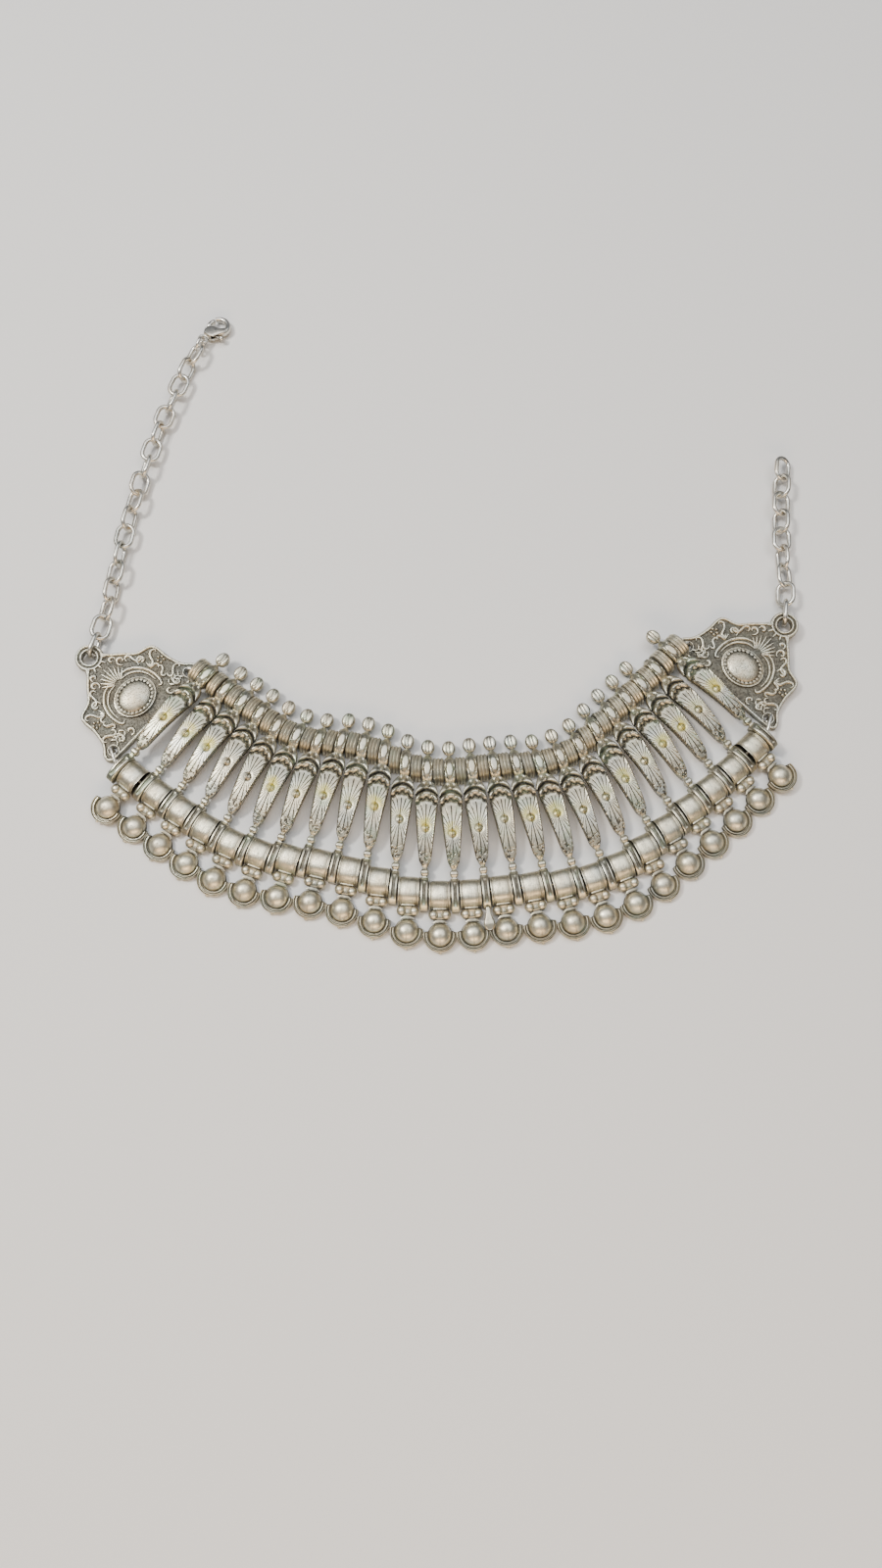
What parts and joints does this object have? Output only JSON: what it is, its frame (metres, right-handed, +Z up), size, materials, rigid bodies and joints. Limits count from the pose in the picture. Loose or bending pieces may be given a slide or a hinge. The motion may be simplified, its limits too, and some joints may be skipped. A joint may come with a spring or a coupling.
{
  "type": "bib necklace",
  "caption": "Crescent bib of cast ribs on two wires with belled drops, a cabochon plate at each end, a long chain with a lobster clasp and a short chain.",
  "frame": {"origin": "on the surface it lies on, under the middle of its bounding box", "axes": "+X along the bib, +Y towards the chains, +Z up from the surface"},
  "size_m": [0.212, 0.2012, 0.0079],
  "materials": {
    "cast_silver": "antiqued cast metal, dark in the recesses",
    "brushed_silver": "brushed antiqued metal",
    "bright_silver": "polished metal with light tarnish"
  },
  "bodies": {
    "necklace": {"rib_01": "cast_silver", "rib_02": "cast_silver", "rib_03": "cast_silver", "rib_04": "cast_silver", "rib_05": "cast_silver", "rib_06": "cast_silver", "rib_07": "cast_silver", "rib_08": "cast_silver", "rib_09": "cast_silver", "rib_10": "cast_silver", "rib_11": "cast_silver", "rib_12": "cast_silver", "rib_13": "cast_silver", "rib_14": "cast_silver", "rib_15": "cast_silver", "rib_16": "cast_silver", "rib_17": "cast_silver", "rib_18": "cast_silver", "rib_19": "cast_silver", "rib_20": "cast_silver", "rib_21": "cast_silver", "rib_22": "cast_silver", "rib_23": "cast_silver", "rib_24": "cast_silver", "rib_25": "cast_silver", "end_plate_left": "cast_silver", "end_plate_right": "cast_silver", "upper_strand": "brushed_silver", "drop_strand": "brushed_silver", "chain_left": "bright_silver", "chain_right": "bright_silver", "clasp_ring": "bright_silver", "clasp_body": "bright_silver"},
    "lever": {"clasp_lever": "bright_silver"}
  },
  "joints": [
    {"name": "clasp_lever_hinge", "type": "hinge", "parent": "necklace", "child": "lever", "pos_m": [-0.07282, 0.09475, 0.00228], "axis": [-0.0965, -0.1035, -0.9899], "range_deg": [0, 25], "stiffness_Nm_per_rad": 0.01, "springref_deg": -11.46}
  ]
}
